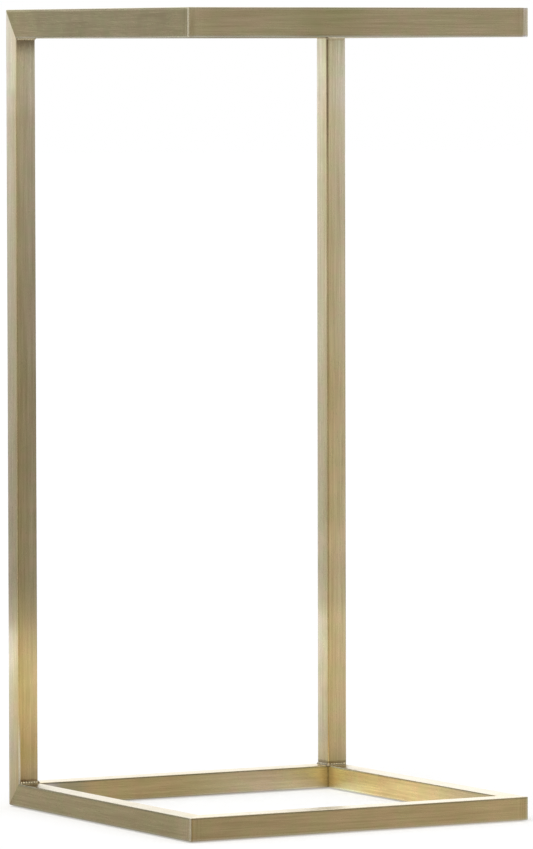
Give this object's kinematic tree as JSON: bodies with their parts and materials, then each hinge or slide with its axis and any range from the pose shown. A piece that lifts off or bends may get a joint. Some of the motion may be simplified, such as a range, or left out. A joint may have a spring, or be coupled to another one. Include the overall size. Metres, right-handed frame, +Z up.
{
  "type": "c shaped side table",
  "caption": "Tall C shaped side table of mitred brushed brass square tube, open at the front, with a clear glass pane set into its square top frame.",
  "frame": {"origin": "on the floor, under the middle of the table's square outline", "axes": "+Z up; +X to the right across the table; +Y from the open front of the C to the posts at the back"},
  "size_m": [0.33, 0.33, 0.695],
  "materials": {
    "brushed_brass": "brushed along each tube, satin, clear lacquered",
    "brass_bar": "satin, as rolled, plated with the frame",
    "weld_brass": "as welded, rippled, plated with the frame",
    "clear_glass": "clear tempered, ground edges",
    "clear_bumper": "clear soft polyurethane",
    "glide_nylon": "natural nylon"
  },
  "bodies": {
    "root": {"base_front_rail": "brushed_brass", "base_left_rail": "brushed_brass", "base_rear_rail": "brushed_brass", "base_right_rail": "brushed_brass", "bumper_front_left": "clear_bumper", "bumper_front_right": "clear_bumper", "bumper_rear_left": "clear_bumper", "bumper_rear_right": "clear_bumper", "glass_pane": "clear_glass", "glide_front_left": "glide_nylon", "glide_front_right": "glide_nylon", "glide_rear_left": "glide_nylon", "glide_rear_right": "glide_nylon", "ledge_front": "brass_bar", "ledge_left": "brass_bar", "ledge_rear": "brass_bar", "ledge_right": "brass_bar", "ledge_tack_welds": "weld_brass", "left_foot_weld": "weld_brass", "left_head_weld": "weld_brass", "left_post": "brushed_brass", "right_foot_weld": "weld_brass", "right_head_weld": "weld_brass", "right_post": "brushed_brass", "top_front_rail": "brushed_brass", "top_left_rail": "brushed_brass", "top_rear_rail": "brushed_brass", "top_right_rail": "brushed_brass"}
  },
  "joints": []
}
